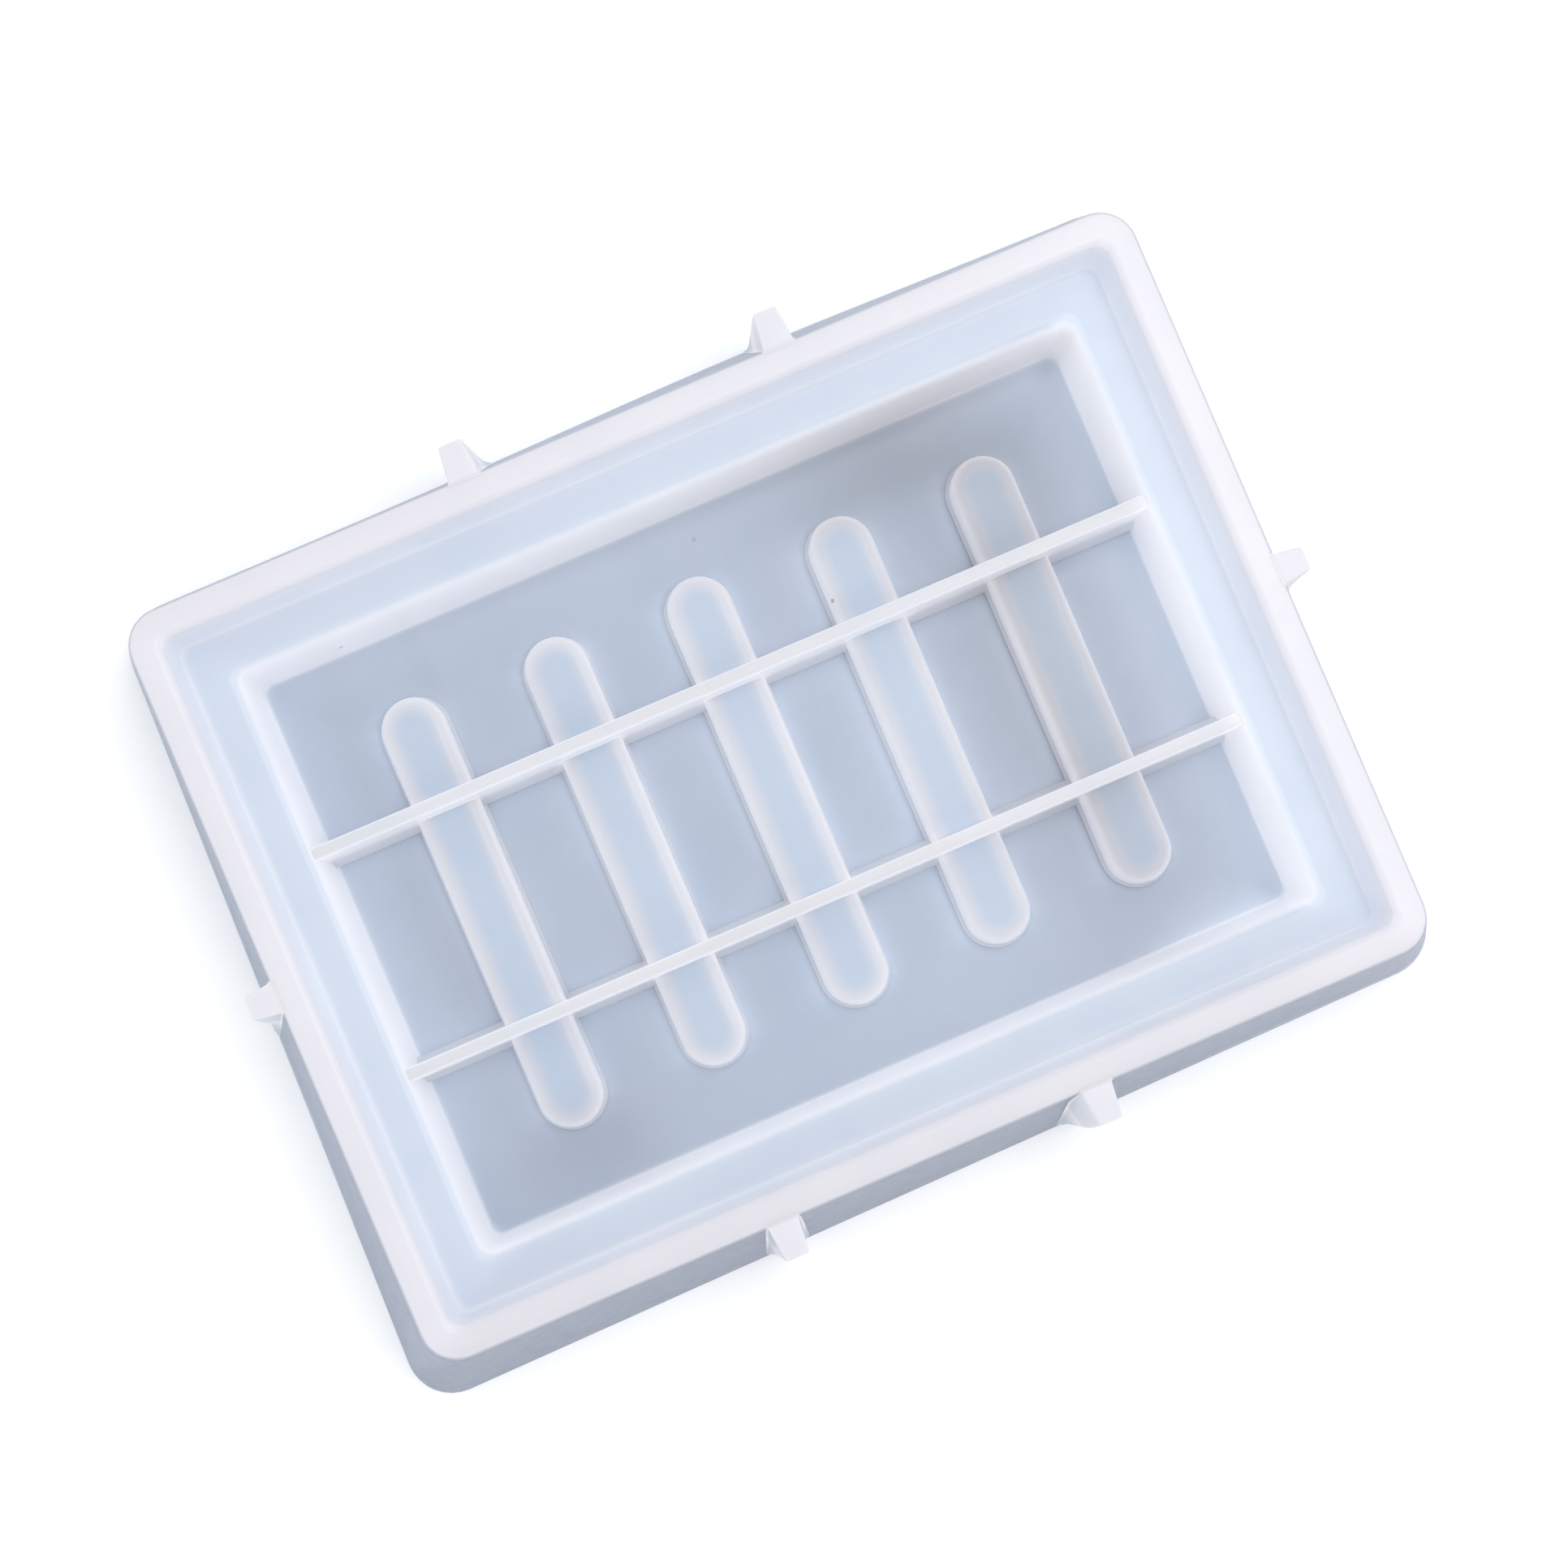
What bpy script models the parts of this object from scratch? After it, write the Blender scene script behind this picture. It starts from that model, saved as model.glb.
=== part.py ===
"""Open casting mould for a slotted soap dish, in soft translucent silicone.

The mould is a shallow rectangular tray standing on its flat underside.  Inside the rim is a
flat ledge, inside the ledge a deeper recess with five long slot cores, and two thin dividers
run the length of the recess over the cores.  Six pull tabs stand out of the outer wall.
X runs along the mould, Y across it, Z up; the origin is the middle of the underside.
"""
import math

import bmesh
import bpy
from mathutils import Vector

# Outer shell, metres
RIM_LENGTH = 0.150
RIM_WIDTH = 0.111
WALL_FLARE = 0.0055
RIM_CORNER_RADIUS = 0.0052
BASE_CORNER_RADIUS = 0.0070

# Depths, from the underside up
FLOOR_THICKNESS = 0.0040
RECESS_DEPTH = 0.0140
CAVITY_DEPTH = 0.0070

# Stepped cavity
RIM_WALL = 0.0044
CAVITY_DRAFT = 0.0008
CAVITY_CORNER_RADIUS = 0.0016
LEDGE_WIDTH = 0.0050
LEDGE_EDGE_RADIUS = 0.0012
RECESS_DRAFT = 0.00105
RECESS_CORNER_RADIUS = 0.0018

# Slot cores
CORE_COUNT = 5
CORE_PITCH = 0.02215
CORE_WIDTH = 0.0104
CORE_LENGTH = 0.0670
CORE_HEIGHT = 0.0060
CORE_DRAFT = 0.00015
CORE_EDGE_RADIUS = 0.0017

# Dividers
DIVIDER_OFFSET = 0.01675
DIVIDER_TOP_WIDTH = 0.0019
DIVIDER_ROOT_WIDTH = 0.0023
DIVIDER_DROP = 0.0010

# Pull tabs
TAB_OFFSET = 0.0235
TAB_ROOT_WIDTH = 0.0040
TAB_TIP_WIDTH = 0.0034
TAB_DRAFT = 0.0009
TAB_SIDE_REACH = 0.0050
TAB_END_REACH = 0.0040
TAB_FOOT = 0.0006

# Clearance at every seam between neighbouring pieces
SEAM = 0.0003

# Fineness of the rounded shapes, and the distance within which points are one
CORNER_STEPS = 8
EDGE_STEPS = 3
SMOOTH_ANGLE = math.radians(35)
WELD = 1e-6

# Levels that follow from the depths
FLOOR_Z = FLOOR_THICKNESS
LEDGE_Z = FLOOR_Z + RECESS_DEPTH
RIM_Z = LEDGE_Z + CAVITY_DEPTH
CORE_TOP_Z = FLOOR_Z + CORE_HEIGHT
DIVIDER_TOP_Z = LEDGE_Z - DIVIDER_DROP

# Milky silicone: deep parts look darker than thin upstanding ones
SILICONE_COLOUR = (0.80, 0.83, 0.88)
SILICONE_ROUGHNESS = 0.42
FLOOR_TINT = 0.80
CORE_TINT = 0.88
LEDGE_TINT = 0.92
TAB_TINT = 0.98
RIM_TINT = 1.0
DIVIDER_TINT = 1.02


def clear_scene():
    for item in list(bpy.data.objects):
        bpy.data.objects.remove(item, do_unlink=True)


def new_collection(name):
    group = bpy.data.collections.new(name)
    bpy.context.scene.collection.children.link(group)
    return group


def silicone(name, tint):
    """The mould's silicone, with the tint of one group of pieces."""
    made = bpy.data.materials.new(name)
    made.use_nodes = True
    shader = made.node_tree.nodes["Principled BSDF"]
    shader.inputs["Base Color"].default_value = [c * tint for c in SILICONE_COLOUR] + [1.0]
    shader.inputs["Roughness"].default_value = SILICONE_ROUGHNESS
    shader.inputs["Metallic"].default_value = 0.0
    return made


def add_piece(name, bm, mould, finish):
    """Turns a finished bmesh into a named piece of the mould."""
    piece = add_object(name, bm, mould.users_collection[0])
    piece.data.materials.append(finish)
    piece.parent = mould
    return piece


def add_object(name, bm, group):
    """Turns a finished bmesh into a named object in a collection."""
    bmesh.ops.remove_doubles(bm, verts=bm.verts, dist=WELD)
    bmesh.ops.recalc_face_normals(bm, faces=bm.faces)
    mesh = bpy.data.meshes.new(name)
    bm.to_mesh(mesh)
    bm.free()
    mesh.shade_smooth()
    mesh.set_sharp_from_angle(angle=SMOOTH_ANGLE)
    made = bpy.data.objects.new(name, mesh)
    group.objects.link(made)
    return made


# ---------------------------------------------------------------- profiles of the tray

def outer_size(z):
    """Half length, half width and corner radius of the flared outer wall at height z."""
    share = 1.0 - z / RIM_Z
    flare = WALL_FLARE * share
    radius = RIM_CORNER_RADIUS + (BASE_CORNER_RADIUS - RIM_CORNER_RADIUS) * share
    return RIM_LENGTH / 2 + flare, RIM_WIDTH / 2 + flare, radius


def cavity_size(z):
    """The same for the inside of the rim, which narrows by its draft down to the ledge."""
    inset = RIM_WALL + CAVITY_DRAFT * (RIM_Z - z) / CAVITY_DEPTH
    return RIM_LENGTH / 2 - inset, RIM_WIDTH / 2 - inset, CAVITY_CORNER_RADIUS


def recess_size(z):
    """The same for the recess: a rounded top edge, then a drafted wall down to the floor."""
    inset = RIM_WALL + CAVITY_DRAFT + LEDGE_WIDTH
    depth = LEDGE_Z - z
    rounding = LEDGE_EDGE_RADIUS
    if depth < LEDGE_EDGE_RADIUS:
        rounding = math.sqrt(LEDGE_EDGE_RADIUS ** 2 - (LEDGE_EDGE_RADIUS - depth) ** 2)
    inset += rounding + RECESS_DRAFT * depth / RECESS_DEPTH
    return RIM_LENGTH / 2 - inset, RIM_WIDTH / 2 - inset, RECESS_CORNER_RADIUS


def ledge_edge_levels():
    """Heights of the sections that round the ledge's inner edge, from the ledge down."""
    turns = [math.pi / 2 * step / EDGE_STEPS for step in range(EDGE_STEPS + 1)]
    return [LEDGE_Z - LEDGE_EDGE_RADIUS * (1 - math.cos(turn)) for turn in turns]


# ---------------------------------------------------------------- lofted sections

def section(bm, size, z):
    """Points round a rectangle with rounded corners, in order."""
    half_x, half_y, radius = size
    corners = [(half_x - radius, half_y - radius), (radius - half_x, half_y - radius),
               (radius - half_x, radius - half_y), (half_x - radius, radius - half_y)]
    loop = []
    for quarter, (centre_x, centre_y) in enumerate(corners):
        for step in range(CORNER_STEPS + 1):
            angle = math.pi / 2 * (quarter + step / CORNER_STEPS)
            x = centre_x + radius * math.cos(angle)
            y = centre_y + radius * math.sin(angle)
            loop.append(bm.verts.new((x, y, z)))
    return loop


def loft(bm, sections):
    """Joins each section to the next with a band of faces, point to matching point."""
    for lower, upper in zip(sections, sections[1:]):
        for i in range(len(lower)):
            bm.faces.new((lower[i - 1], lower[i], upper[i], upper[i - 1]))


# ---------------------------------------------------------------- the pieces

def make_base_floor(mould, finish):
    """The plate under the whole mould; its upper face is the floor of the recess."""
    bm = bmesh.new()
    sections = [section(bm, outer_size(z), z) for z in (0.0, FLOOR_Z)]
    loft(bm, sections)
    for points in sections:
        bmesh.ops.contextual_create(bm, geom=points)
    return add_piece("base_floor", bm, mould, finish)


def cut_to_side(bm, side):
    """Keeps one side of a ring, mitred at the corners, with half a seam off each mitre."""
    mitre = (RIM_LENGTH - RIM_WIDTH) / 2
    outward = Vector(side)
    along = Vector((outward.y, outward.x, 0))
    start = mitre if side[0] else -mitre
    for sense in (1, -1):
        normal = (outward + along * sense).normalized()
        point = outward * start + normal * (SEAM / 2)
        parts = list(bm.verts) + list(bm.edges) + list(bm.faces)
        bmesh.ops.bisect_plane(bm, geom=parts, dist=WELD, plane_co=point, plane_no=normal,
                               clear_inner=True)
        open_edges = [edge for edge in bm.edges if edge.is_boundary]
        bmesh.ops.holes_fill(bm, edges=open_edges, sides=0)


def make_ring_side(name, side, outer_levels, inner_levels, inner_size, mould, finish):
    """One mitred side of the wall between the outer face and a step of the cavity."""
    bm = bmesh.new()
    loops = [section(bm, outer_size(z), z) for z in outer_levels]
    loops += [section(bm, inner_size(z), z) for z in inner_levels]
    loft(bm, loops + loops[:1])
    cut_to_side(bm, side)
    return add_piece(name, bm, mould, finish)


def make_walls(mould, ledge_finish, rim_finish):
    """Four thick ledge blocks around the recess and four rim walls standing on them."""
    sides = {"left": (-1, 0, 0), "right": (1, 0, 0), "front": (0, -1, 0), "back": (0, 1, 0)}
    ledge_low = FLOOR_Z + SEAM
    rim_low = LEDGE_Z + SEAM
    for place, side in sides.items():
        make_ring_side("ledge_" + place, side, (ledge_low, LEDGE_Z),
                       ledge_edge_levels() + [ledge_low], recess_size, mould, ledge_finish)
        make_ring_side("rim_wall_" + place, side, (rim_low, RIM_Z),
                       (RIM_Z, rim_low), cavity_size, mould, rim_finish)


def core_size(z, margin):
    """Half width, half length and end radius of a core at height z, grown by a margin."""
    top = CORE_TOP_Z + margin
    edge = CORE_EDGE_RADIUS + margin
    rounding = 0.0
    if z > top - edge:
        rounding = edge - math.sqrt(edge ** 2 - (z - top + edge) ** 2)
    half = CORE_WIDTH / 2 + margin - CORE_DRAFT * (z - FLOOR_Z) / CORE_HEIGHT - rounding
    return half, half + (CORE_LENGTH - CORE_WIDTH) / 2, half


def core_shape(margin, low_z):
    """Round-ended core with drafted sides and a rounded top edge, grown by a margin."""
    top = CORE_TOP_Z + margin
    edge = CORE_EDGE_RADIUS + margin
    turns = [math.pi / 2 * step / EDGE_STEPS for step in range(EDGE_STEPS + 1)]
    levels = [low_z] + [top - edge * (1 - math.sin(turn)) for turn in turns]
    bm = bmesh.new()
    sections = [section(bm, core_size(z, margin), z) for z in levels]
    loft(bm, sections)
    for points in (sections[0], sections[-1]):
        bmesh.ops.contextual_create(bm, geom=points)
    return bm


def make_cores(mould, cutters, finish):
    """Five slot cores in a row; returns the cutters that clear them out of the dividers."""
    tools = []
    for number in range(1, CORE_COUNT + 1):
        x = (number - (CORE_COUNT + 1) / 2) * CORE_PITCH
        core = add_piece(f"slot_core_{number}", core_shape(0.0, FLOOR_Z + SEAM), mould, finish)
        core.location.x = x
        tool = add_object(f"core_cutter_{number}", core_shape(SEAM, 0.0), cutters)
        tool.location.x = x
        tool.hide_render = True
        tool.display_type = "WIRE"
        tools.append(tool)
    return tools


def make_divider(name, y, tools, mould, finish):
    """Thin upright wall the length of the recess, standing on the floor over the cores."""
    low_z = FLOOR_Z + SEAM
    half_low = recess_size(low_z)[0] - SEAM
    half_high = recess_size(DIVIDER_TOP_Z)[0] - SEAM
    bm = bmesh.new()
    bmesh.ops.create_cube(bm, size=2.0)
    for vert in bm.verts:
        top = vert.co.z > 0
        vert.co.x *= half_high if top else half_low
        vert.co.y *= (DIVIDER_TOP_WIDTH if top else DIVIDER_ROOT_WIDTH) / 2
        vert.co.z = DIVIDER_TOP_Z if top else low_z
    divider = add_piece(name, bm, mould, finish)
    divider.location.y = y
    for tool in tools:
        cut = divider.modifiers.new(tool.name, "BOOLEAN")
        cut.operation = "DIFFERENCE"
        cut.solver = "EXACT"
        cut.object = tool


def make_tab(name, place, turn, reach, mould, finish):
    """Tapered pull tab, flush with the rim, standing against the flared outer wall.

    It is made pointing along X from the rim's outer face, then turned and put in its place.
    """
    low_z = FLOOR_Z + SEAM
    bm = bmesh.new()
    bmesh.ops.create_cube(bm, size=2.0)
    for vert in bm.verts:
        tip = vert.co.x > 0
        z = RIM_Z if vert.co.z > 0 else low_z
        share = 1 - z / RIM_Z
        wall = WALL_FLARE * share + SEAM
        width = (TAB_TIP_WIDTH if tip else TAB_ROOT_WIDTH) / 2 + TAB_DRAFT * share
        vert.co = (max(wall + TAB_FOOT, reach) if tip else wall, vert.co.y * width, z)
    tab = add_piece(name, bm, mould, finish)
    tab.location = (place[0], place[1], 0.0)
    tab.rotation_euler.z = turn


def make_tabs(mould, finish):
    """Two tabs on each long side and one in the middle of each short side."""
    for side, across in (("front", -1), ("back", 1)):
        for hand, along in (("left", -1), ("right", 1)):
            place = (along * TAB_OFFSET, across * RIM_WIDTH / 2)
            make_tab(f"pull_tab_{side}_{hand}", place, across * math.pi / 2,
                     TAB_SIDE_REACH, mould, finish)
    make_tab("pull_tab_left", (-RIM_LENGTH / 2, 0.0), math.pi, TAB_END_REACH, mould, finish)
    make_tab("pull_tab_right", (RIM_LENGTH / 2, 0.0), 0.0, TAB_END_REACH, mould, finish)


def main():
    clear_scene()
    pieces = new_collection("soap_dish_mould")
    cutters = new_collection("cutters")
    mould = bpy.data.objects.new("mould", None)
    pieces.objects.link(mould)
    make_base_floor(mould, silicone("floor_silicone", FLOOR_TINT))
    make_walls(mould, silicone("ledge_silicone", LEDGE_TINT), silicone("rim_silicone", RIM_TINT))
    tools = make_cores(mould, cutters, silicone("core_silicone", CORE_TINT))
    divider_finish = silicone("divider_silicone", DIVIDER_TINT)
    make_divider("divider_front", -DIVIDER_OFFSET, tools, mould, divider_finish)
    make_divider("divider_back", DIVIDER_OFFSET, tools, mould, divider_finish)
    make_tabs(mould, silicone("tab_silicone", TAB_TINT))


main()
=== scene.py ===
"""Looks of an open casting mould for a slotted soap dish, in soft milky silicone.

The tray, its slot cores, its dividers and its pull tabs are lofted from rounded outlines, each
with the soft edges and fillets of a poured silicone part.  One milky silicone is shared by all
of them, its colour painted with light and shade: it pales where the wall is thin, as painted light
scattered through the silicone, and turns blue-grey where it is thick, darker where it is deep as
painted shade; upright walls carry painted light and a painted glow, and the floor painted shadows.
"""
import math

import bmesh
import bpy
import numpy as np
from mathutils import Matrix, Vector


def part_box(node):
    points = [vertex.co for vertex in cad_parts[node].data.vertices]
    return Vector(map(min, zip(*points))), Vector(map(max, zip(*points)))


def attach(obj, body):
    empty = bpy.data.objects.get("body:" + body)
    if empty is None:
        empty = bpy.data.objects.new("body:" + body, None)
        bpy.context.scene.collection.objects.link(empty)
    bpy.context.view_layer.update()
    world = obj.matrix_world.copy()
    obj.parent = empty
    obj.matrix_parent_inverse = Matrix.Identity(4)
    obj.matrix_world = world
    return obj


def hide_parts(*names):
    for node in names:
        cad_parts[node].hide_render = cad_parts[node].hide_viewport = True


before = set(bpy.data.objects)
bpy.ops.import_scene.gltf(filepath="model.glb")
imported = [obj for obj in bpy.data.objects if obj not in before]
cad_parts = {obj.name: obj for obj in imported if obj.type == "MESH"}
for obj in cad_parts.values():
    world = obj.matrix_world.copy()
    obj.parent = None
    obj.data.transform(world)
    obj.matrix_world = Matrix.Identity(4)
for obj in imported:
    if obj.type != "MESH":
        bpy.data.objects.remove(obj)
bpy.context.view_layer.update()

MM = 0.001

# ---------------------------------------------------------------- sizes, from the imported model

BASE_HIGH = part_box("base_floor")[1]
RIM_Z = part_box("rim_wall_right")[1].z
FLOOR_Z = BASE_HIGH.z
LEDGE_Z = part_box("ledge_right")[1].z
CORE_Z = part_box("slot_core_1")[1].z
DIVIDER_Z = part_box("divider_front")[1].z
FLARE = 5.5 * MM
HALF_X = BASE_HIGH.x - FLARE
HALF_Y = BASE_HIGH.y - FLARE
RIM_CORNER = 5.2 * MM
BASE_CORNER = 7.0 * MM
RIM_WALL = 4.4 * MM
CAVITY_DRAFT = 0.8 * MM
LEDGE_WIDTH = 5.0 * MM
RECESS_DRAFT = 1.05 * MM
CAVITY_CORNER = 1.9 * MM
RECESS_CORNER = 1.9 * MM
CORES = ["slot_core_1", "slot_core_2", "slot_core_3", "slot_core_4", "slot_core_5"]
DIVIDERS = ["divider_front", "divider_back"]
CORE_HALF = (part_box("slot_core_1")[1].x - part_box("slot_core_1")[0].x) / 2
DIVIDER_Y = (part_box("divider_back")[0].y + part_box("divider_back")[1].y) / 2
DIVIDER_HALF = (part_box("divider_back")[1].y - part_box("divider_back")[0].y) / 2

# soft edges of the moulding
RIM_OUTER_ROUND = 0.45 * MM
RIM_INNER_ROUND = 1.1 * MM
LEDGE_ROUND = 1.2 * MM
CORE_ROUND = 1.7 * MM
DIVIDER_ROUND = 0.35 * MM
TAB_ROUND = 0.3 * MM
TAB_FILLET = 0.35 * MM
TAB_TIP_ROUND = 0.4 * MM
TAB_BURIED = 1.6 * MM
TAB_DRAFT = 0.9 * MM
FILLET = 0.8 * MM
CORE_FILLET = 0.5 * MM
BASE_ROUND = 0.4 * MM
BURIED = 0.6 * MM
CORNER_STEPS = 8
WELD = 1e-6

# heights, or insets from the wall above, at which each piece's outline is repeated, millimetres
OUTER_CUTS = (1.5, 3.0, 5.0, 8.0, 11.0, 14.0, 17.0, 20.0, 22.5, 23.9)
RIM_TOP_CUTS = (0.9, 1.5, 2.1, 2.7, 3.1)
CAVITY_CUTS = (23.2, 22.2, 21.2, 20.0, 19.2)
LEDGE_CUTS = (1.5, 2.2, 2.9, 3.6, 4.2, 4.7)
RECESS_CUTS = (15.8, 14.5, 13.0, 11.5, 10.0, 8.5, 7.0, 5.8)
FLOOR_CUTS = (1.4, 2.1, 2.8)
CORE_SIDE_CUTS = (4.9, 5.6, 6.4, 7.3)
CORE_TOP_CUTS = (2.1, 2.6, 3.2, 3.8, 4.3, 4.6)
DIVIDER_CUTS = (6.5, 8.2, 9.9, 11.6, 13.3, 15.0)
TAB_CUTS = (0.8, 2.5, 5.0, 8.0, 11.0, 14.0, 17.0, 19.0, 20.5, 22.0, 23.3)
FOOT_CUTS = (0.05, 0.5, 1.0, 1.7, 2.6)
TRAY_PITCH = 2.0 * MM
CORE_PITCH = 1.5 * MM
DIVIDER_PITCH = 1.5 * MM

# dividers and pull tabs
DIVIDER_CORNER = 0.2 * MM
DIVIDER_DRAFT = 0.2 * MM
DIVIDER_INTO_WALL = 0.9 * MM
TAB_END_REACH = 4.1 * MM
TAB_SIDE_REACH = 5.3 * MM
TAB_ROOT_HALF = 2.25 * MM
TAB_TIP_HALF = 1.75 * MM
TAB_FOOT_REACH = 0.6 * MM
TAB_FOOT_SHY = 0.05 * MM
TAB_TURNS = 5
TAB_POINTS = 2 * (2 * TAB_TURNS + 3)
LEANING_TABS = {"pull_tab_front_right": -1.3 * MM}
LEAN_HEIGHT = 4 * MM

# how the foot of the soft outer wall lies a little out of square
LEFT_SHIFT = 0.3 * MM
LEFT_TWIST = 0.027
FRONT_TWIST = 0.0133
BACK_BOW = 0.9 * MM
BACK_BOW_MIDDLE = 20 * MM
BACK_BOW_SPREAD = 38 * MM
BACK_SET_IN = 0.5 * MM

# painted shadows, soft darker patches where shade falls on the floor, cores, dividers and walls:
# (x, y, spread in x, spread in y, amount), in millimetres
SHADE_PATCHES = [(30, 37, 16, 7, 0.28), (52, 30, 9, 12, 0.15), (-44, -36, 12, 7, 0.18),
          (0, 17.5, 70, 3.2, 0.09), (0, -17.5, 70, 3.2, 0.05),
          (-50.5, -6, 2.4, 14, 0.10), (-28.6, -8, 2.2, 12, 0.10), (-6.4, -10, 2.2, 12, 0.08),
          (-28.2, 27, 3, 5, 0.06), (30, 42.5, 70, 2.0, 0.20),
          (42, -2, 11, 46, 0.27), (-53, 5, 3, 40, 0.06), (-39.6, 4, 1.6, 32, 0.12)]
# painted shade on the front face of the outer wall
FRONT_WALL_SHADE = 0.18

# painted light at the foot of each feature, lifting the shade in its corners: how strong it is,
# and how far it reaches
FOOT_CORE = 0.95
FOOT_DIVIDER = 1.0
FOOT_WALL = 0.64
FOOT_LEDGE = 0.18
FOOT_END = 0.12
FOOT_RIGHT = 0.30
FOOT_ON_CORE = 0.45
CORE_LIGHT_REACH = 1.2 * MM
DIVIDER_LIGHT_REACH = 2.5 * MM
WALL_LIGHT_REACH = 3.0 * MM
LEDGE_LIGHT_REACH = 1.6 * MM


def grey(value):
    return (value, value, value)


# colours of the silicone, with painted light and shade in them; body, pale, wall light and glow
# stops lie at shares of the mould's height. The body ramp is the milky blue-grey silicone, darker
# deep in the recess as painted shade; the pale ramp is painted light on thin rims and edges; the
# wall light ramp is painted light on upright walls; the glow is painted light carried through the
# silicone.
BODY_STOPS = [(0.0, (0.37, 0.42, 0.51)), (0.16, (0.40, 0.455, 0.545)),
              (0.40, (0.437, 0.51, 0.615)), (0.72, (0.555, 0.61, 0.70)), (1.0, (0.59, 0.62, 0.70))]
PALE_STOPS = [(0.0, (0.60, 0.60, 0.64)), (0.42, (0.59, 0.59, 0.635)), (0.60, (0.62, 0.62, 0.65)),
              (0.68, (0.62, 0.62, 0.655)), (0.8, (0.63, 0.65, 0.70)), (1.0, (0.66, 0.65, 0.695))]
WALL_LIGHT_STOPS = [(0.0, (0.82, 0.82, 0.86)), (0.68, (0.86, 0.86, 0.89)), (0.76, (0.69, 0.72, 0.80)),
              (0.94, (0.68, 0.70, 0.765)), (1.0, (0.66, 0.65, 0.695))]
# painted glow: emission on upright walls, standing in for light carried through the translucent
# silicone
GLOW_STOPS = [(0.16, grey(0.13)), (0.68, grey(0.12)), (0.74, grey(0.03)), (0.94, grey(0.02)),
              (1.0, grey(0.0))]
GLOW_COLOUR = (0.96, 0.97, 1.0)
UPRIGHT_STOPS = [(0.0, grey(0.0)), (0.35, grey(0.5)), (0.9, grey(1.0))]
# painted shade: the darker grey-blue of the outer wall
OUTER_WALL_SHADE_COLOUR = (0.195, 0.235, 0.33)
# painted shade: the colour that the shade patches multiply in
SHADE_COLOUR = (0.20, 0.15, 0.14)
# painted light: above one, it brightens the corners at the feet of walls, cores and dividers
FOOT_LIGHT_COLOUR = (1.42, 1.40, 1.37)
MOTTLE_STOPS = [(0.32, (0.955, 0.965, 0.975)), (0.5, (0.99, 0.985, 0.985)), (0.68, grey(1.0))]
MOTTLE_SCALE = 75.0
DUST_COLOUR = (0.20, 0.18, 0.18)
# (x, y, z, radius, strength) of each speck, in millimetres
DUST = [(-49.3, 43.3, 8.0, 0.32, 0.75), (17.75, 21.8, 9.5, 0.38, 0.6), (3.4, 38.4, 4.0, 0.35, 0.3)]

# surface of the silicone
MOULD_HEIGHT = 25 * MM
ROUGHNESS_LOW = 0.26
ROUGHNESS_SPREAD = 0.16
ROUGHNESS_SCALE = 420.0
GRAIN_SCALE = 900.0
GRAIN_STRENGTH = 0.12
GRAIN_DEPTH = 0.04 * MM
SILICONE_IOR = 1.41
SCATTER_WEIGHT = 0.3
SCATTER_RADIUS = (0.8, 0.9, 1.0)
SCATTER_DEPTH = 1.0 * MM

# studio
STUDIO_HALF = 1.5
STUDIO_DROP = 0.02 * MM
STUDIO_WHITE = (0.96, 0.96, 0.96, 1.0)
STUDIO_GLOW = 0.05
ROOM_COLOUR = (0.97, 0.985, 1.0, 1.0)
ROOM_STRENGTH = 1.12
KEY_PLACE = (0.24, 0.05, 0.80)
KEY_SIZE = 0.45
KEY_POWER = 1.6
KEY_COLOUR = (1.0, 0.99, 0.975)
LENS_LENGTH = 65.69
LENS_SHIFT = (0.0046, 0.0914)
CAMERA_PLACE = (-0.02036, -0.02136, 0.41728)
CAMERA_AHEAD = (0.0306, 0.0083, -1.0)
CAMERA_ROLL = math.radians(23.204)


# ---------------------------------------------------------------- lofting

def rectangle_point(turn, size, z):
    """Point number turn on a rectangle with rounded corners."""
    half_x, half_y, radius = size
    quarter, step = divmod(turn, CORNER_STEPS + 1)
    angle = math.pi / 2 * (quarter + step / CORNER_STEPS)
    side_x = 1 if quarter in (0, 3) else -1
    side_y = 1 if quarter in (0, 1) else -1
    return Vector((side_x * (half_x - radius) + radius * math.cos(angle),
                   side_y * (half_y - radius) + radius * math.sin(angle), z))


def loft(levels, point=rectangle_point, count=4 * (CORNER_STEPS + 1)):
    """Closed body through a stack of outlines; levels holds (size, height) from first to last."""
    bm = bmesh.new()
    turn = bm.verts.layers.int.new("turn")
    ring = bmesh.ops.create_circle(bm, segments=count, radius=1.0)["verts"]
    for number, vert in enumerate(ring):
        vert[turn] = number
        vert.co = point(number, *levels[0])
    first = list(dict.fromkeys(edge for vert in ring for edge in vert.link_edges))
    edges = first
    for size, z in levels[1:]:
        grown = bmesh.ops.extrude_edge_only(bm, edges=edges)["geom"]
        verts = {item for item in grown if isinstance(item, bmesh.types.BMVert)}
        for vert in verts:
            vert.co = point(vert[turn], size, z)
        edges = [item for item in grown
                 if isinstance(item, bmesh.types.BMEdge) and set(item.verts) <= verts]
    for rim in (first, edges):
        bmesh.ops.contextual_create(bm, geom=rim)
    bmesh.ops.remove_doubles(bm, verts=bm.verts, dist=WELD)
    return bm


def evenly(reach, pitch):
    return [number * pitch for number in range(int(-reach / pitch), int(reach / pitch) + 1)]


def cut_across(bm, axis, places):
    """Cuts the mesh with planes across an axis so that its tint can change along it."""
    normal = Vector((1, 0, 0)) if axis == 0 else Vector((0, 1, 0))
    for place in places:
        geometry = list(bm.verts) + list(bm.edges) + list(bm.faces)
        bmesh.ops.bisect_plane(bm, geom=geometry, dist=WELD,
                               plane_co=normal * place, plane_no=normal)


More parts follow.
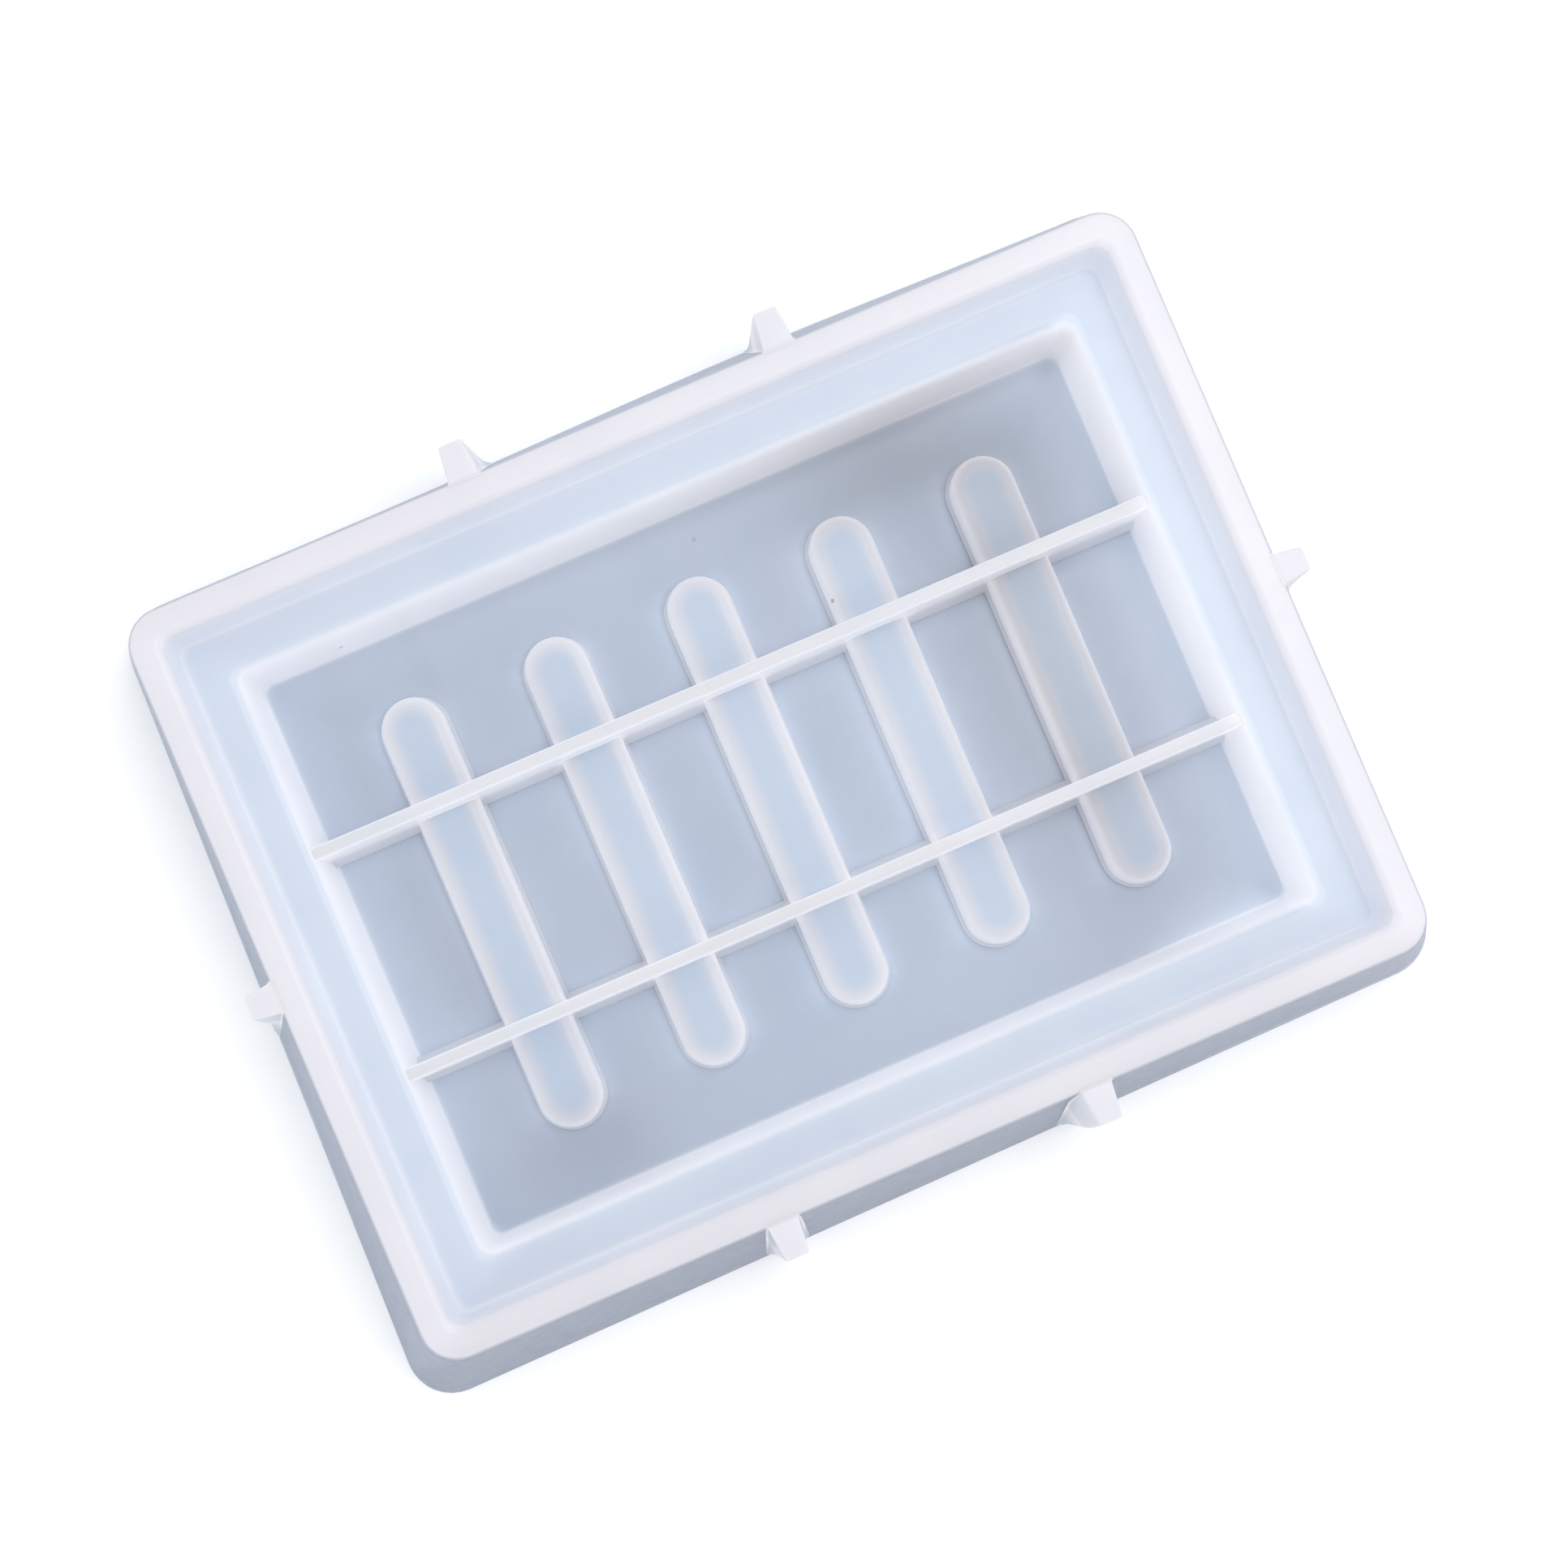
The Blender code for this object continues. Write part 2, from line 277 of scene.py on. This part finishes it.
def round_off(radius, steps):
    """(inset, drop) pairs of a convex quarter round, from the upright face to the flat top."""
    turns = [math.pi / 2 * step / steps for step in range(steps + 1)]
    return [(radius * (1 - math.cos(t)), radius * (1 - math.sin(t))) for t in turns]


# ---------------------------------------------------------------- outlines of the mould

def outer_size(z, inset=0.0):
    share = 1 - z / RIM_Z
    grow = FLARE * share - inset
    radius = RIM_CORNER + (BASE_CORNER - RIM_CORNER) * share - inset
    return HALF_X + grow, HALF_Y + grow, radius


def cavity_size(z, inset=0.0):
    inset += RIM_WALL + CAVITY_DRAFT * (RIM_Z - z) / (RIM_Z - LEDGE_Z)
    return HALF_X - inset, HALF_Y - inset, CAVITY_CORNER


def recess_size(z, inset=0.0):
    inset += RIM_WALL + CAVITY_DRAFT + LEDGE_WIDTH + LEDGE_ROUND
    inset += RECESS_DRAFT * (LEDGE_Z - z) / (LEDGE_Z - FLOOR_Z)
    return HALF_X - inset, HALF_Y - inset, RECESS_CORNER


def tray_levels():
    """Outlines of the tray from its underside, over the rim and down to the recess floor."""
    levels = []
    for inset, rise in reversed(round_off(BASE_ROUND, 3)):
        levels.append((outer_size(rise, inset), rise))
    for z in OUTER_CUTS:
        levels.append((outer_size(z * MM), z * MM))
    for inset, drop in round_off(RIM_OUTER_ROUND, 4):
        levels.append((outer_size(RIM_Z, inset), RIM_Z - drop))
    for inset in RIM_TOP_CUTS:
        levels.append((outer_size(RIM_Z, inset * MM), RIM_Z))
    for inset, drop in reversed(round_off(RIM_INNER_ROUND, 4)):
        levels.append((cavity_size(RIM_Z, -inset), RIM_Z - drop))
    for z in CAVITY_CUTS:
        levels.append((cavity_size(z * MM), z * MM))
    for inset, rise in round_off(FILLET, 4):
        levels.append((cavity_size(LEDGE_Z, inset), LEDGE_Z + rise))
    for inset in LEDGE_CUTS:
        levels.append((cavity_size(LEDGE_Z, inset * MM), LEDGE_Z))
    for inset, drop in reversed(round_off(LEDGE_ROUND, 6)):
        levels.append((recess_size(LEDGE_Z, -inset), LEDGE_Z - drop))
    for z in RECESS_CUTS:
        levels.append((recess_size(z * MM), z * MM))
    for inset, rise in round_off(FILLET, 4):
        levels.append((recess_size(FLOOR_Z, inset), FLOOR_Z + rise))
    for inset in FLOOR_CUTS:
        levels.append((recess_size(FLOOR_Z, inset * MM), FLOOR_Z))
    return levels


def core_levels(half, reach):
    """Outlines of a slot core from inside the floor up to the middle of its top."""
    levels = [((half, reach, half), BURIED)]
    for inset, rise in reversed(round_off(CORE_FILLET, 5)):
        levels.append(((half - inset, reach - inset, half - inset), FLOOR_Z + rise))
    half -= CORE_FILLET
    reach -= CORE_FILLET
    for z in CORE_SIDE_CUTS:
        levels.append(((half, reach, half), z * MM))
    for inset, drop in round_off(CORE_ROUND, 6):
        levels.append(((half - inset, reach - inset, half - inset), CORE_Z - drop))
    for inset in CORE_TOP_CUTS:
        levels.append(((half - inset * MM, reach - inset * MM, half - inset * MM), CORE_Z))
    return levels


def divider_levels(half_root, half_top, reach):
    """Outlines of a divider from inside the floor up to its rounded top edge."""
    levels = [((reach, half_root + FILLET, DIVIDER_CORNER), BURIED)]
    for inset, rise in reversed(round_off(FILLET, 4)):
        levels.append(((reach, half_root + FILLET - inset, DIVIDER_CORNER), FLOOR_Z + rise))
    for z in DIVIDER_CUTS:
        share = (z * MM - FLOOR_Z) / (DIVIDER_Z - FLOOR_Z)
        half = half_root + (half_top - half_root) * share
        levels.append(((reach, half, DIVIDER_CORNER), z * MM))
    for inset, drop in round_off(DIVIDER_ROUND, 3):
        levels.append(((reach, half_top - inset, DIVIDER_CORNER), DIVIDER_Z - drop))
    return levels


# ---------------------------------------------------------------- pull tabs

def tab_point(turn, size, z):
    """Point on a tab's outline: buried end, fillets at the wall, rounded tip; X points out."""
    buried, wall, reach, root, tip, inset = size
    side = 1 if turn < TAB_POINTS // 2 else -1
    place = turn if side > 0 else TAB_POINTS - 1 - turn
    fillet = min(TAB_FILLET, 0.5 * (reach - wall))
    tip_round = min(TAB_TIP_ROUND, 0.5 * (reach - wall))
    if place == 0:
        x, y = reach - inset, 0.3 * tip
    elif place <= TAB_TURNS:
        angle = math.pi / 2 * (place - 1) / (TAB_TURNS - 1)
        x = reach - inset - tip_round * (1 - math.cos(angle))
        y = tip - inset - tip_round * (1 - math.sin(angle))
    elif place <= 2 * TAB_TURNS:
        angle = math.pi / 2 * (place - TAB_TURNS - 1) / (TAB_TURNS - 1)
        x = wall + fillet * (1 - math.sin(angle))
        y = root - inset + fillet * (1 - math.cos(angle))
    else:
        x = buried if place == 2 * TAB_TURNS + 2 else (wall + buried) / 2
        y = root - inset + fillet
    return Vector((x, side * y, z))


def tab_levels(reach, root, tip):
    """Outlines of a tab from the foot of the flared wall up to its top, level with the rim."""
    levels = []
    for z in TAB_CUTS:
        share = 1 - z * MM / RIM_Z
        wall = FLARE * share
        end = max(reach, min(wall + TAB_FOOT_REACH, FLARE - TAB_FOOT_SHY))
        levels.append(((wall - TAB_BURIED, wall, end, root + TAB_DRAFT * share,
                        tip + TAB_DRAFT * share, 0.0), z * MM))
    for inset, drop in round_off(TAB_ROUND, 4):
        buried = -TAB_BURIED + (TAB_BURIED - RIM_OUTER_ROUND) * (1 - drop / TAB_ROUND)
        levels.append(((buried, 0.0, reach, root, tip, inset), RIM_Z - drop))
    return levels


# ---------------------------------------------------------------- painted light and shade: where the silicone pales

def outline_distance(x, y, half_x, half_y, radius):
    """Signed distance from a rounded rectangle, negative inside."""
    over_x = np.abs(x) - (half_x - radius)
    over_y = np.abs(y) - (half_y - radius)
    outside = np.hypot(np.maximum(over_x, 0), np.maximum(over_y, 0))
    return outside + np.minimum(np.maximum(over_x, over_y), 0) - radius


def fade(low, high, values):
    """Soft step from 0 at low to 1 at high."""
    share = np.clip((values - low) / (high - low), 0, 1)
    return share * share * (3 - 2 * share)


def off_core(x, y):
    """Signed distance in plan from the nearest slot core's outline, negative inside."""
    near = []
    for node in CORES:
        low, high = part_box(node)
        middle, half = (low + high) / 2, (high - low) / 2
        near.append(outline_distance(x - middle.x, y - middle.y, half.x, half.y, half.x))
    return np.min(near, axis=0)


# painted light: the rim top pales, fading off into the ledge
def pale_tray(x, y, z, off_rim):
    return (1 - fade(3.2 * MM, 6.6 * MM, -off_rim)) * (z > LEDGE_Z - WELD)


# painted light: the rounded border of a core's top pales, less so down its sides and at its foot
def pale_core(x, y, z, off_rim):
    off = off_core(x, y)
    border = 0.07 + 0.93 * (1 - fade(1.3 * MM, 3.6 * MM, -off))
    side = 1 - 0.5 * fade(-1.2 * MM, -0.1 * MM, off)
    foot = 1 - 0.6 * fade(-0.4 * MM, 0.0, off)
    return border * side * foot


# painted light and shade: a divider pales upwards from a darker foot
def pale_divider(x, y, z, off_rim):
    return fade(FLOOR_Z + 0.5 * MM, FLOOR_Z + 7.0 * MM, z)


# painted light and shade: a tab pales upwards from a darker foot
def pale_tab(x, y, z, off_rim):
    return fade(3.0 * MM, 14.0 * MM, z)


def shade_of(x, y, z, off_rim):
    """Painted shade: soft shadows on the floor, cores and walls, and the long sides of the ledge
    and rim and the rim's outer edge a touch darker.
    """
    shade = np.zeros(len(x))
    for middle_x, middle_y, spread_x, spread_y, amount in SHADE_PATCHES:
        away = ((x / MM - middle_x) / spread_x) ** 2 + ((y / MM - middle_y) / spread_y) ** 2
        shade += amount * np.exp(-away)
    shade *= 1 - fade(LEDGE_Z - 4.0 * MM, LEDGE_Z, z)
    on_side = fade(FLOOR_Z, FLOOR_Z + 1.5 * MM, z) * (1 - fade(CORE_Z - 1.0 * MM, CORE_Z, z))
    shade *= 1 - 0.6 * on_side * (off_core(x, y) < WELD)
    shade *= outline_distance(x, y, *recess_size(LEDGE_Z)) < MM
    long_side = fade(-4.0 * MM, 4.0 * MM, np.abs(y) * HALF_X / HALF_Y - np.abs(x))
    on_ledge = fade(LEDGE_Z - 2.0 * MM, LEDGE_Z, z) * fade(3.5 * MM, 6.0 * MM, -off_rim)
    on_rim = fade(LEDGE_Z, RIM_Z, z) * (1 - fade(3.5 * MM, 6.0 * MM, -off_rim))
    on_rim *= off_rim < 0.1 * MM
    rim_edge = 1 - fade(0.0, 2.6 * MM, -off_rim)
    front = 0.5 - 0.5 * y / HALF_Y
    return (shade + (0.04 + 0.05 * front) * long_side * on_ledge
            + (0.02 * long_side + 0.06 * long_side * front + 0.03 * rim_edge) * on_rim)


# painted light on upright faces: each piece's share of the lighter wall colour and of the glow
def lift_tray(x, y, z, upright):
    return upright


def lift_core(x, y, z, upright):
    return 0.88 * upright * (0.6 + 0.4 * fade(FLOOR_Z, FLOOR_Z + 3.0 * MM, z))


def lift_divider(x, y, z, upright):
    return upright * (0.62 + 0.38 * fade(FLOOR_Z + 3.0 * MM, FLOOR_Z + 10.0 * MM, z))


def lift_tab(x, y, z, upright):
    return 0.55 * upright * fade(8 * MM, 20 * MM, z)


def foot_light_of(x, y, z, off_rim):
    """Painted light that lifts the shade in the corners at the feet of walls, cores and dividers,
    standing in for light carried by the silicone, and a painted brighter right end.
    """
    from_core = np.minimum(off_core(x, y), off_core(x + 0.8 * MM, y))
    near_core = FOOT_CORE * np.exp(-np.maximum(from_core, 0) / CORE_LIGHT_REACH)
    near_core *= 1 - 0.6 * fade(29 * MM, 34 * MM, np.abs(y))
    across = np.abs(np.abs(y) - DIVIDER_Y) - DIVIDER_HALF
    near_divider = FOOT_DIVIDER * np.exp(-np.maximum(across, 0) / DIVIDER_LIGHT_REACH)
    from_wall = -outline_distance(x, y, *recess_size(FLOOR_Z))
    near_wall = FOOT_WALL * np.exp(-np.maximum(from_wall, 0) / WALL_LIGHT_REACH)
    right_end = fade(30 * MM, 50 * MM, x)
    near_wall *= 1 - 0.8 * fade(24 * MM, 40 * MM, -y) * (1 - right_end)
    near_wall = np.minimum(near_wall * (1 + 0.9 * right_end), 1)
    floor = 1 - (1 - near_core) * (1 - near_divider) * (1 - near_wall)
    floor *= 1 - fade(FLOOR_Z + 0.1 * MM, FLOOR_Z + 0.8 * MM, z)
    on_core = (off_core(x, y) < 0) & (z > FLOOR_Z + MM) & (z < CORE_Z + WELD)
    floor += FOOT_ON_CORE * on_core * np.exp(-np.maximum(across, 0) / MM)
    from_rim = np.maximum(-off_rim - RIM_WALL - CAVITY_DRAFT, 0)
    ledge = FOOT_LEDGE * np.exp(-from_rim / LEDGE_LIGHT_REACH) * fade(3.6 * MM, 4.6 * MM, -off_rim)
    bright_end = FOOT_END * fade(45 * MM, 76 * MM, x)
    right_wall = FOOT_RIGHT * fade(60 * MM, 63 * MM, x) * fade(FLOOR_Z, FLOOR_Z + MM, z)
    above = z > LEDGE_Z - WELD
    return floor + ((ledge + bright_end) * above + right_wall * ~above) * (off_rim < 0)


def add_tint_masks(piece, pale_of, lift_of, outside_share):
    """Stores on each point its painted light and shade: how pale, how lit as an upright wall, how
    shaded, how lit at a foot and how far outside it is.
    """
    mesh = piece.data
    points = np.empty(len(mesh.vertices) * 3)
    mesh.vertices.foreach_get("co", points)
    x, y, z = points.reshape(-1, 3).T
    normals = np.empty(len(mesh.vertices) * 3)
    mesh.vertices.foreach_get("normal", normals)
    off_rim = outline_distance(x, y, HALF_X, HALF_Y, RIM_CORNER)
    masks = {"pale": pale_of(x, y, z, off_rim),
             "upright": lift_of(x, y, z, 1 - np.abs(normals.reshape(-1, 3)[:, 2])),
             "outside": outside_share * np.clip(off_rim / (0.5 * MM) + 0.6, 0, 1),
             "shade": shade_of(x, y, z, off_rim)
             + FRONT_WALL_SHADE * outside_share * fade(0.0, 0.5 * MM, off_rim) * (y < -HALF_Y),
             "foot": foot_light_of(x, y, z, off_rim)}
    for name, values in masks.items():
        made = mesh.attributes.new(name, "FLOAT", "POINT")
        made.data.foreach_set("value", values.astype(np.float32))


# ---------------------------------------------------------------- materials

def new_node(tree, kind, **settings):
    node = tree.nodes.new(kind)
    for name, value in settings.items():
        setattr(node, name, value)
    return node


def ramp(tree, stops, source):
    """Colour ramp node with the given (position, colour) stops."""
    node = new_node(tree, "ShaderNodeValToRGB")
    elements = node.color_ramp.elements
    while len(elements) < len(stops):
        elements.new(0.5)
    for element, (position, colour) in zip(elements, stops):
        element.position = position
        element.color = (*colour, 1.0)
    tree.links.new(source, node.inputs["Fac"])
    return node.outputs["Color"]


def mix(tree, blend, factor, first, second):
    node = new_node(tree, "ShaderNodeMix", data_type="RGBA", blend_type=blend)
    for socket, value in zip((node.inputs["Factor"], node.inputs["A"], node.inputs["B"]),
                             (factor, first, second)):
        if isinstance(value, bpy.types.NodeSocket):
            tree.links.new(value, socket)
        else:
            socket.default_value = value if isinstance(value, float) else (*value, 1.0)
    return node.outputs["Result"]


def scaled(tree, source, factor, add=0.0):
    node = new_node(tree, "ShaderNodeMath", operation="MULTIPLY_ADD")
    for socket, value in zip(node.inputs, (source, factor, add)):
        if isinstance(value, bpy.types.NodeSocket):
            tree.links.new(value, socket)
        else:
            socket.default_value = value
    return node.outputs[0]


def noise(tree, place, scale, detail):
    node = new_node(tree, "ShaderNodeTexNoise")
    node.inputs["Scale"].default_value = scale
    node.inputs["Detail"].default_value = detail
    tree.links.new(place, node.inputs["Vector"])
    return node.outputs["Fac"]


def dust(tree, place):
    """Mask of a few specks of dust caught in the surface."""
    total = 0.0
    for x, y, z, radius, amount in DUST:
        away = new_node(tree, "ShaderNodeVectorMath", operation="DISTANCE")
        away.inputs[1].default_value = (x * MM, y * MM, z * MM)
        tree.links.new(place, away.inputs[0])
        near = new_node(tree, "ShaderNodeMath", operation="LESS_THAN")
        near.inputs[1].default_value = radius * MM
        tree.links.new(away.outputs["Value"], near.inputs[0])
        total = scaled(tree, near.outputs[0], amount, total)
    return total


def milky_silicone():
    made = bpy.data.materials.new("milky_silicone")
    made.use_nodes = True
    tree = made.node_tree
    shader = tree.nodes["Principled BSDF"]
    place = new_node(tree, "ShaderNodeTexCoord").outputs["Object"]
    parts = new_node(tree, "ShaderNodeSeparateXYZ")
    tree.links.new(place, parts.inputs[0])
    height = scaled(tree, parts.outputs["Z"], 1 / MOULD_HEIGHT)
    mask = {name: new_node(tree, "ShaderNodeAttribute", attribute_name=name).outputs["Fac"]
            for name in ("pale", "upright", "outside", "shade", "foot")}
    # painted light on upright faces, as a share of the lighter wall colour
    upright = ramp(tree, UPRIGHT_STOPS, mask["upright"])
    # silicone body tone with painted shade deep in the recess, mixed with painted light where it
    # pales
    colour = mix(tree, "MIX", mask["pale"], ramp(tree, BODY_STOPS, height),
                 ramp(tree, PALE_STOPS, height))
    # painted light: upright walls take the lighter wall colour
    colour = mix(tree, "MIX", upright, colour, ramp(tree, WALL_LIGHT_STOPS, height))
    # painted shade on the outer wall
    colour = mix(tree, "MIX", mask["outside"], colour, OUTER_WALL_SHADE_COLOUR)
    # painted shadows
    colour = mix(tree, "MULTIPLY", mask["shade"], colour, SHADE_COLOUR)
    # painted light at the feet of walls, cores and dividers
    colour = mix(tree, "MULTIPLY", mask["foot"], colour, FOOT_LIGHT_COLOUR)
    mottle = ramp(tree, MOTTLE_STOPS, noise(tree, place, MOTTLE_SCALE, 3.0))
    colour = mix(tree, "MULTIPLY", 1.0, colour, mottle)
    colour = mix(tree, "MIX", dust(tree, place), colour, DUST_COLOUR)
    tree.links.new(colour, shader.inputs["Base Color"])
    # painted glow: emission on upright walls inside the mould
    inside = scaled(tree, mask["outside"], -1.0, 1.0)
    glow = scaled(tree, upright, ramp(tree, GLOW_STOPS, height))
    tree.links.new(scaled(tree, glow, inside), shader.inputs["Emission Strength"])
    shader.inputs["Emission Color"].default_value = (*GLOW_COLOUR, 1.0)
    patches = noise(tree, place, ROUGHNESS_SCALE, 4.0)
    roughness = scaled(tree, patches, ROUGHNESS_SPREAD, ROUGHNESS_LOW)
    tree.links.new(roughness, shader.inputs["Roughness"])
    grain = new_node(tree, "ShaderNodeBump")
    grain.inputs["Strength"].default_value = GRAIN_STRENGTH
    grain.inputs["Distance"].default_value = GRAIN_DEPTH
    tree.links.new(noise(tree, place, GRAIN_SCALE, 3.0), grain.inputs["Height"])
    tree.links.new(grain.outputs["Normal"], shader.inputs["Normal"])
    shader.inputs["IOR"].default_value = SILICONE_IOR
    shader.inputs["Subsurface Weight"].default_value = SCATTER_WEIGHT
    shader.inputs["Subsurface Radius"].default_value = SCATTER_RADIUS
    shader.inputs["Subsurface Scale"].default_value = SCATTER_DEPTH
    return made


# ---------------------------------------------------------------- making the pieces

def twist_foot(bm, only_outer):
    """Lets the foot of the flared wall lean a little out of square, as soft silicone lies."""
    for vert in bm.verts:
        x, y, z = vert.co
        off_rim = float(outline_distance(x, y, HALF_X, HALF_Y, RIM_CORNER))
        if only_outer and off_rim < -RIM_OUTER_ROUND - WELD and z > WELD:
            continue
        share = 1 - z / RIM_Z
        left = min(max(0.5 - 0.5 * x / HALF_X, 0.0), 1.0)
        back = min(max(0.5 + 0.5 * y / HALF_Y, 0.0), 1.0)
        bow = BACK_BOW * math.exp(-((x - BACK_BOW_MIDDLE) / BACK_BOW_SPREAD) ** 2) - BACK_SET_IN
        vert.co.x += share * left * (LEFT_TWIST * y + LEFT_SHIFT)
        vert.co.y += share * (back * bow + (1 - back) * FRONT_TWIST * x)


def finish_piece(name, bm, pale_of, lift_of, nodes, outside_share=0.0):
    """Turns a mesh into a piece that stands for CAD nodes, rides with the mould and is tinted."""
    bmesh.ops.recalc_face_normals(bm, faces=bm.faces)
    mesh = bpy.data.meshes.new(name)
    bm.to_mesh(mesh)
    bm.free()
    mesh.shade_smooth()
    piece = bpy.data.objects.new(name, mesh)
    bpy.context.scene.collection.objects.link(piece)
    mesh.materials.append(SILICONE)
    add_tint_masks(piece, pale_of, lift_of, outside_share)
    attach(piece, "root")
    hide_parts(*nodes)
    return piece


def make_tray():
    bm = loft(tray_levels())
    round_core = [side * (CORE_HALF + off * MM) for side in (-1, 1) for off in FOOT_CUTS]
    round_divider = [side * (DIVIDER_HALF + off * MM) for side in (-1, 1) for off in FOOT_CUTS]
    cores = [(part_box(node)[0].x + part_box(node)[1].x) / 2 for node in CORES]
    ends = [side * (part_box(CORES[0])[1].y + off * MM) for side in (-1, 1) for off in FOOT_CUTS]
    cut_across(bm, 0, evenly(HALF_X + FLARE, TRAY_PITCH)
               + [middle + off for middle in cores for off in round_core])
    cut_across(bm, 1, evenly(HALF_Y + FLARE, TRAY_PITCH) + ends
               + [side * DIVIDER_Y + off for side in (-1, 1) for off in round_divider])
    nodes = [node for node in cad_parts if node.startswith(("base", "ledge", "rim"))]
    twist_foot(bm, True)
    finish_piece("moulded_tray", bm, pale_tray, lift_tray, nodes, 1.0)


def make_cores():
    for number, node in enumerate(CORES, 1):
        low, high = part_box(node)
        middle, half = (low + high) / 2, (high - low) / 2
        bm = loft(core_levels(half.x, half.y))
        cut_across(bm, 1, evenly(half.y, CORE_PITCH))
        bmesh.ops.translate(bm, vec=(middle.x, 0, 0), verts=bm.verts)
        finish_piece(f"moulded_core_{number}", bm, pale_core, lift_core, [node])


def make_dividers():
    for node in DIVIDERS:
        low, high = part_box(node)
        half_root = (high.y - low.y) / 2
        bm = loft(divider_levels(half_root, half_root - DIVIDER_DRAFT, high.x + DIVIDER_INTO_WALL))
        cut_across(bm, 0, evenly(high.x, DIVIDER_PITCH))
        bmesh.ops.translate(bm, vec=(0, (low.y + high.y) / 2, 0), verts=bm.verts)
        finish_piece("moulded_" + node, bm, pale_divider, lift_divider, [node])


def make_tabs():
    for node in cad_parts:
        if not node.startswith("pull_tab"):
            continue
        low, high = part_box(node)
        middle = (low + high) / 2
        sideways = abs(middle.x) > HALF_X
        reach = TAB_END_REACH if sideways else TAB_SIDE_REACH
        bm = loft(tab_levels(reach, TAB_ROOT_HALF, TAB_TIP_HALF), tab_point, TAB_POINTS)
        if sideways:
            place = Vector((math.copysign(HALF_X, middle.x), 0, 0))
            turn = 0.0 if middle.x > 0 else math.pi
        else:
            place = Vector((middle.x, math.copysign(HALF_Y, middle.y), 0))
            turn = math.copysign(math.pi / 2, middle.y)
        bmesh.ops.transform(bm, matrix=Matrix.Translation(place) @ Matrix.Rotation(turn, 4, "Z"),
                            verts=bm.verts)
        twist_foot(bm, False)
        if node in LEANING_TABS:
            for vert in bm.verts:
                down = min((RIM_Z - vert.co.z) / LEAN_HEIGHT, 1.0)
                vert.co.x += math.sin(down * math.pi / 2) * LEANING_TABS[node]
        finish_piece(node.replace("pull_tab", "moulded_tab"), bm, pale_tab, lift_tab, [node])


# ---------------------------------------------------------------- studio

def make_floor():
    bm = bmesh.new()
    bmesh.ops.create_grid(bm, x_segments=2, y_segments=2, size=STUDIO_HALF)
    bmesh.ops.translate(bm, vec=(0, 0, -STUDIO_DROP), verts=bm.verts)
    mesh = bpy.data.meshes.new("studio_floor")
    bm.to_mesh(mesh)
    bm.free()
    floor = bpy.data.objects.new("studio_floor", mesh)
    bpy.context.scene.collection.objects.link(floor)
    paint = bpy.data.materials.new("floor_white")
    paint.use_nodes = True
    shader = paint.node_tree.nodes["Principled BSDF"]
    shader.inputs["Base Color"].default_value = STUDIO_WHITE
    shader.inputs["Emission Color"].default_value = (1.0, 1.0, 1.0, 1.0)
    shader.inputs["Emission Strength"].default_value = STUDIO_GLOW
    shader.inputs["Roughness"].default_value = 0.9
    shader.inputs["Specular IOR Level"].default_value = 0.1
    mesh.materials.append(paint)


def area_light(name, place, size, power, colour):
    lamp = bpy.data.lights.new(name, "AREA")
    lamp.shape = "DISK"
    lamp.size = size
    lamp.energy = power
    lamp.color = colour
    light = bpy.data.objects.new(name, lamp)
    light.location = place
    light.rotation_euler = (-Vector(place)).to_track_quat("-Z", "Y").to_euler()
    bpy.context.scene.collection.objects.link(light)


def make_lights():
    world = bpy.data.worlds.new("soft_room")
    world.use_nodes = True
    room = world.node_tree.nodes["Background"]
    room.inputs["Color"].default_value = ROOM_COLOUR
    room.inputs["Strength"].default_value = ROOM_STRENGTH
    bpy.context.scene.world = world
    area_light("key_softbox", KEY_PLACE, KEY_SIZE, KEY_POWER, KEY_COLOUR)


def make_camera():
    """Looks almost straight down, with the mould's long side rising to the right."""
    lens = bpy.data.cameras.new("camera")
    lens.sensor_width = 36.0
    lens.lens = LENS_LENGTH
    lens.shift_x, lens.shift_y = LENS_SHIFT
    lens.clip_start = 0.01
    lens.clip_end = 10.0
    camera = bpy.data.objects.new("camera", lens)
    ahead = Vector(CAMERA_AHEAD).normalized()
    right = Vector((math.cos(CAMERA_ROLL), -math.sin(CAMERA_ROLL), 0.0))
    right = (right - ahead * right.dot(ahead)).normalized()
    up = right.cross(ahead)
    turn = Matrix((right, up, -ahead)).transposed().to_4x4()
    camera.matrix_world = Matrix.Translation(CAMERA_PLACE) @ turn
    bpy.context.scene.collection.objects.link(camera)
    bpy.context.scene.camera = camera


SILICONE = milky_silicone()
make_tray()
make_cores()
make_dividers()
make_tabs()
make_floor()
make_lights()
make_camera()
bpy.context.scene.view_settings.view_transform = "Standard"
